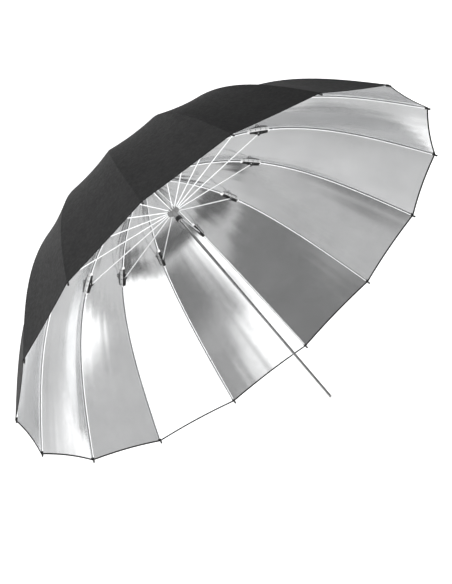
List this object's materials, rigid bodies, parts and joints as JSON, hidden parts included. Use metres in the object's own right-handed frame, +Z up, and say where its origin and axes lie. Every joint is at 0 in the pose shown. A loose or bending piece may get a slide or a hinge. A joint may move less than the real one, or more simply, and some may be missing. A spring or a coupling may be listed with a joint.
{
  "type": "umbrella reflector",
  "caption": "Deep studio umbrella reflector: black cloth with a silver lining over bowed ribs that fold about a crown, opened by stretchers on a sliding runner.",
  "frame": {"origin": "on the shaft's axis, where the flash head's bracket grips the shaft", "axes": "+Y along the shaft towards the crown, so the open bowl faces -Y; +Z up; one rib lies along +X"},
  "size_m": [1.6028, 0.9969, 1.6028],
  "materials": {
    "canopy_cloth": "satin",
    "silver_lining": "gloss",
    "white_fibreglass": "gloss",
    "black_plastic": "satin",
    "shaft_metal": "satin",
    "steel_wire": "satin"
  },
  "bodies": {
    "shaft": {"shaft_tube": "shaft_metal", "shaft_end_plug": "black_plastic", "crown_hub": "black_plastic", "crown_hinge_wire": "steel_wire", "crown_pin": "steel_wire", "crown_washer": "black_plastic", "crown_ferrule": "black_plastic", "runner_stop_pin": "steel_wire"},
    "runner": {"runner_body": "black_plastic", "runner_hinge_wire": "steel_wire", "runner_grip_ring": "black_plastic"},
    "catch": {"catch_blade": "steel_wire"},
    "spoke_01": {"rib_01": "white_fibreglass", "canopy_01": "canopy_cloth"},
    "strut_01": {"stretcher_01": "white_fibreglass"},
    "spoke_02": {"rib_02": "white_fibreglass", "canopy_02": "canopy_cloth"},
    "strut_02": {"stretcher_02": "white_fibreglass"},
    "spoke_03": {"rib_03": "white_fibreglass", "canopy_03": "canopy_cloth"},
    "strut_03": {"stretcher_03": "white_fibreglass"},
    "spoke_04": {"rib_04": "white_fibreglass", "canopy_04": "canopy_cloth"},
    "strut_04": {"stretcher_04": "white_fibreglass"},
    "spoke_05": {"rib_05": "white_fibreglass", "canopy_05": "canopy_cloth"},
    "strut_05": {"stretcher_05": "white_fibreglass"},
    "spoke_06": {"rib_06": "white_fibreglass", "canopy_06": "canopy_cloth"},
    "strut_06": {"stretcher_06": "white_fibreglass"},
    "spoke_07": {"rib_07": "white_fibreglass", "canopy_07": "canopy_cloth"},
    "strut_07": {"stretcher_07": "white_fibreglass"},
    "spoke_08": {"rib_08": "white_fibreglass", "canopy_08": "canopy_cloth"},
    "strut_08": {"stretcher_08": "white_fibreglass"},
    "spoke_09": {"rib_09": "white_fibreglass", "canopy_09": "canopy_cloth"},
    "strut_09": {"stretcher_09": "white_fibreglass"},
    "spoke_10": {"rib_10": "white_fibreglass", "canopy_10": "canopy_cloth"},
    "strut_10": {"stretcher_10": "white_fibreglass"},
    "spoke_11": {"rib_11": "white_fibreglass", "canopy_11": "canopy_cloth"},
    "strut_11": {"stretcher_11": "white_fibreglass"},
    "spoke_12": {"rib_12": "white_fibreglass", "canopy_12": "canopy_cloth"},
    "strut_12": {"stretcher_12": "white_fibreglass"},
    "spoke_13": {"rib_13": "white_fibreglass", "canopy_13": "canopy_cloth"},
    "strut_13": {"stretcher_13": "white_fibreglass"},
    "spoke_14": {"rib_14": "white_fibreglass", "canopy_14": "canopy_cloth"},
    "strut_14": {"stretcher_14": "white_fibreglass"},
    "spoke_15": {"rib_15": "white_fibreglass", "canopy_15": "canopy_cloth"},
    "strut_15": {"stretcher_15": "white_fibreglass"},
    "spoke_16": {"rib_16": "white_fibreglass", "canopy_16": "canopy_cloth"},
    "strut_16": {"stretcher_16": "white_fibreglass"}
  },
  "joints": [
    {"name": "runner_slide", "type": "slide", "parent": "shaft", "child": "runner", "axis": [0, -1, 0], "range_m": [0, 0.564]},
    {"name": "catch_press", "type": "slide", "parent": "shaft", "child": "catch", "axis": [0, 0, -1], "range_m": [0, 0.0025], "stiffness_N_per_m": 400},
    {"name": "rib_01_hinge", "type": "hinge", "parent": "shaft", "child": "spoke_01", "pos_m": [0.0145, 0.58, 0], "axis": [0, 0, -1], "range_deg": [0, 57.4], "deforming": ["canopy_01"]},
    {"name": "stretcher_01_hinge", "type": "hinge", "parent": "spoke_01", "child": "strut_01", "pos_m": [0.39125, 0.50331, 0], "axis": [0, 0, 1], "range_deg": [0, 114.8]},
    {"name": "rib_02_hinge", "type": "hinge", "parent": "shaft", "child": "spoke_02", "pos_m": [0.0134, 0.58, 0.00555], "axis": [0.3827, 0, -0.9239], "range_deg": [0, 57.4], "deforming": ["canopy_02"]},
    {"name": "stretcher_02_hinge", "type": "hinge", "parent": "spoke_02", "child": "strut_02", "pos_m": [0.36146, 0.50331, 0.14972], "axis": [-0.3827, 0, 0.9239], "range_deg": [0, 114.8]},
    {"name": "rib_03_hinge", "type": "hinge", "parent": "shaft", "child": "spoke_03", "pos_m": [0.01025, 0.58, 0.01025], "axis": [0.7071, 0, -0.7071], "range_deg": [0, 57.4], "deforming": ["canopy_03"]},
    {"name": "stretcher_03_hinge", "type": "hinge", "parent": "spoke_03", "child": "strut_03", "pos_m": [0.27665, 0.50331, 0.27665], "axis": [-0.7071, 0, 0.7071], "range_deg": [0, 114.8]},
    {"name": "rib_04_hinge", "type": "hinge", "parent": "shaft", "child": "spoke_04", "pos_m": [0.00555, 0.58, 0.0134], "axis": [0.9239, 0, -0.3827], "range_deg": [0, 57.4], "deforming": ["canopy_04"]},
    {"name": "stretcher_04_hinge", "type": "hinge", "parent": "spoke_04", "child": "strut_04", "pos_m": [0.14972, 0.50331, 0.36146], "axis": [-0.9239, 0, 0.3827], "range_deg": [0, 114.8]},
    {"name": "rib_05_hinge", "type": "hinge", "parent": "shaft", "child": "spoke_05", "pos_m": [0, 0.58, 0.0145], "axis": [1, 0, 0], "range_deg": [0, 57.4], "deforming": ["canopy_05"]},
    {"name": "stretcher_05_hinge", "type": "hinge", "parent": "spoke_05", "child": "strut_05", "pos_m": [0, 0.50331, 0.39125], "axis": [-1, 0, 0], "range_deg": [0, 114.8]},
    {"name": "rib_06_hinge", "type": "hinge", "parent": "shaft", "child": "spoke_06", "pos_m": [-0.00555, 0.58, 0.0134], "axis": [0.9239, 0, 0.3827], "range_deg": [0, 57.4], "deforming": ["canopy_06"]},
    {"name": "stretcher_06_hinge", "type": "hinge", "parent": "spoke_06", "child": "strut_06", "pos_m": [-0.14972, 0.50331, 0.36146], "axis": [-0.9239, 0, -0.3827], "range_deg": [0, 114.8]},
    {"name": "rib_07_hinge", "type": "hinge", "parent": "shaft", "child": "spoke_07", "pos_m": [-0.01025, 0.58, 0.01025], "axis": [0.7071, 0, 0.7071], "range_deg": [0, 57.4], "deforming": ["canopy_07"]},
    {"name": "stretcher_07_hinge", "type": "hinge", "parent": "spoke_07", "child": "strut_07", "pos_m": [-0.27665, 0.50331, 0.27665], "axis": [-0.7071, 0, -0.7071], "range_deg": [0, 114.8]},
    {"name": "rib_08_hinge", "type": "hinge", "parent": "shaft", "child": "spoke_08", "pos_m": [-0.0134, 0.58, 0.00555], "axis": [0.3827, 0, 0.9239], "range_deg": [0, 57.4], "deforming": ["canopy_08"]},
    {"name": "stretcher_08_hinge", "type": "hinge", "parent": "spoke_08", "child": "strut_08", "pos_m": [-0.36146, 0.50331, 0.14972], "axis": [-0.3827, 0, -0.9239], "range_deg": [0, 114.8]},
    {"name": "rib_09_hinge", "type": "hinge", "parent": "shaft", "child": "spoke_09", "pos_m": [-0.0145, 0.58, 0], "axis": [0, 0, 1], "range_deg": [0, 57.4], "deforming": ["canopy_09"]},
    {"name": "stretcher_09_hinge", "type": "hinge", "parent": "spoke_09", "child": "strut_09", "pos_m": [-0.39125, 0.50331, 0], "axis": [0, 0, -1], "range_deg": [0, 114.8]},
    {"name": "rib_10_hinge", "type": "hinge", "parent": "shaft", "child": "spoke_10", "pos_m": [-0.0134, 0.58, -0.00555], "axis": [-0.3827, 0, 0.9239], "range_deg": [0, 57.4], "deforming": ["canopy_10"]},
    {"name": "stretcher_10_hinge", "type": "hinge", "parent": "spoke_10", "child": "strut_10", "pos_m": [-0.36146, 0.50331, -0.14972], "axis": [0.3827, 0, -0.9239], "range_deg": [0, 114.8]},
    {"name": "rib_11_hinge", "type": "hinge", "parent": "shaft", "child": "spoke_11", "pos_m": [-0.01025, 0.58, -0.01025], "axis": [-0.7071, 0, 0.7071], "range_deg": [0, 57.4], "deforming": ["canopy_11"]},
    {"name": "stretcher_11_hinge", "type": "hinge", "parent": "spoke_11", "child": "strut_11", "pos_m": [-0.27665, 0.50331, -0.27665], "axis": [0.7071, 0, -0.7071], "range_deg": [0, 114.8]},
    {"name": "rib_12_hinge", "type": "hinge", "parent": "shaft", "child": "spoke_12", "pos_m": [-0.00555, 0.58, -0.0134], "axis": [-0.9239, 0, 0.3827], "range_deg": [0, 57.4], "deforming": ["canopy_12"]},
    {"name": "stretcher_12_hinge", "type": "hinge", "parent": "spoke_12", "child": "strut_12", "pos_m": [-0.14972, 0.50331, -0.36146], "axis": [0.9239, 0, -0.3827], "range_deg": [0, 114.8]},
    {"name": "rib_13_hinge", "type": "hinge", "parent": "shaft", "child": "spoke_13", "pos_m": [0, 0.58, -0.0145], "axis": [-1, 0, 0], "range_deg": [0, 57.4], "deforming": ["canopy_13"]},
    {"name": "stretcher_13_hinge", "type": "hinge", "parent": "spoke_13", "child": "strut_13", "pos_m": [0, 0.50331, -0.39125], "axis": [1, 0, 0], "range_deg": [0, 114.8]},
    {"name": "rib_14_hinge", "type": "hinge", "parent": "shaft", "child": "spoke_14", "pos_m": [0.00555, 0.58, -0.0134], "axis": [-0.9239, 0, -0.3827], "range_deg": [0, 57.4], "deforming": ["canopy_14"]},
    {"name": "stretcher_14_hinge", "type": "hinge", "parent": "spoke_14", "child": "strut_14", "pos_m": [0.14972, 0.50331, -0.36146], "axis": [0.9239, 0, 0.3827], "range_deg": [0, 114.8]},
    {"name": "rib_15_hinge", "type": "hinge", "parent": "shaft", "child": "spoke_15", "pos_m": [0.01025, 0.58, -0.01025], "axis": [-0.7071, 0, -0.7071], "range_deg": [0, 57.4], "deforming": ["canopy_15"]},
    {"name": "stretcher_15_hinge", "type": "hinge", "parent": "spoke_15", "child": "strut_15", "pos_m": [0.27665, 0.50331, -0.27665], "axis": [0.7071, 0, 0.7071], "range_deg": [0, 114.8]},
    {"name": "rib_16_hinge", "type": "hinge", "parent": "shaft", "child": "spoke_16", "pos_m": [0.0134, 0.58, -0.00555], "axis": [-0.3827, 0, -0.9239], "range_deg": [0, 57.4], "deforming": ["canopy_16"]},
    {"name": "stretcher_16_hinge", "type": "hinge", "parent": "spoke_16", "child": "strut_16", "pos_m": [0.36146, 0.50331, -0.14972], "axis": [0.3827, 0, 0.9239], "range_deg": [0, 114.8]}
  ],
  "couplings": [
    {"joint": "rib_01_hinge", "follows": "runner_slide", "rad_per_m": 1.7761},
    {"joint": "stretcher_01_hinge", "follows": "runner_slide", "rad_per_m": 3.5523},
    {"joint": "rib_02_hinge", "follows": "runner_slide", "rad_per_m": 1.7761},
    {"joint": "stretcher_02_hinge", "follows": "runner_slide", "rad_per_m": 3.5523},
    {"joint": "rib_03_hinge", "follows": "runner_slide", "rad_per_m": 1.7761},
    {"joint": "stretcher_03_hinge", "follows": "runner_slide", "rad_per_m": 3.5523},
    {"joint": "rib_04_hinge", "follows": "runner_slide", "rad_per_m": 1.7761},
    {"joint": "stretcher_04_hinge", "follows": "runner_slide", "rad_per_m": 3.5523},
    {"joint": "rib_05_hinge", "follows": "runner_slide", "rad_per_m": 1.7761},
    {"joint": "stretcher_05_hinge", "follows": "runner_slide", "rad_per_m": 3.5523},
    {"joint": "rib_06_hinge", "follows": "runner_slide", "rad_per_m": 1.7761},
    {"joint": "stretcher_06_hinge", "follows": "runner_slide", "rad_per_m": 3.5523},
    {"joint": "rib_07_hinge", "follows": "runner_slide", "rad_per_m": 1.7761},
    {"joint": "stretcher_07_hinge", "follows": "runner_slide", "rad_per_m": 3.5523},
    {"joint": "rib_08_hinge", "follows": "runner_slide", "rad_per_m": 1.7761},
    {"joint": "stretcher_08_hinge", "follows": "runner_slide", "rad_per_m": 3.5523},
    {"joint": "rib_09_hinge", "follows": "runner_slide", "rad_per_m": 1.7761},
    {"joint": "stretcher_09_hinge", "follows": "runner_slide", "rad_per_m": 3.5523},
    {"joint": "rib_10_hinge", "follows": "runner_slide", "rad_per_m": 1.7761},
    {"joint": "stretcher_10_hinge", "follows": "runner_slide", "rad_per_m": 3.5523},
    {"joint": "rib_11_hinge", "follows": "runner_slide", "rad_per_m": 1.7761},
    {"joint": "stretcher_11_hinge", "follows": "runner_slide", "rad_per_m": 3.5523},
    {"joint": "rib_12_hinge", "follows": "runner_slide", "rad_per_m": 1.7761},
    {"joint": "stretcher_12_hinge", "follows": "runner_slide", "rad_per_m": 3.5523},
    {"joint": "rib_13_hinge", "follows": "runner_slide", "rad_per_m": 1.7761},
    {"joint": "stretcher_13_hinge", "follows": "runner_slide", "rad_per_m": 3.5523},
    {"joint": "rib_14_hinge", "follows": "runner_slide", "rad_per_m": 1.7761},
    {"joint": "stretcher_14_hinge", "follows": "runner_slide", "rad_per_m": 3.5523},
    {"joint": "rib_15_hinge", "follows": "runner_slide", "rad_per_m": 1.7761},
    {"joint": "stretcher_15_hinge", "follows": "runner_slide", "rad_per_m": 3.5523},
    {"joint": "rib_16_hinge", "follows": "runner_slide", "rad_per_m": 1.7761},
    {"joint": "stretcher_16_hinge", "follows": "runner_slide", "rad_per_m": 3.5523}
  ]
}
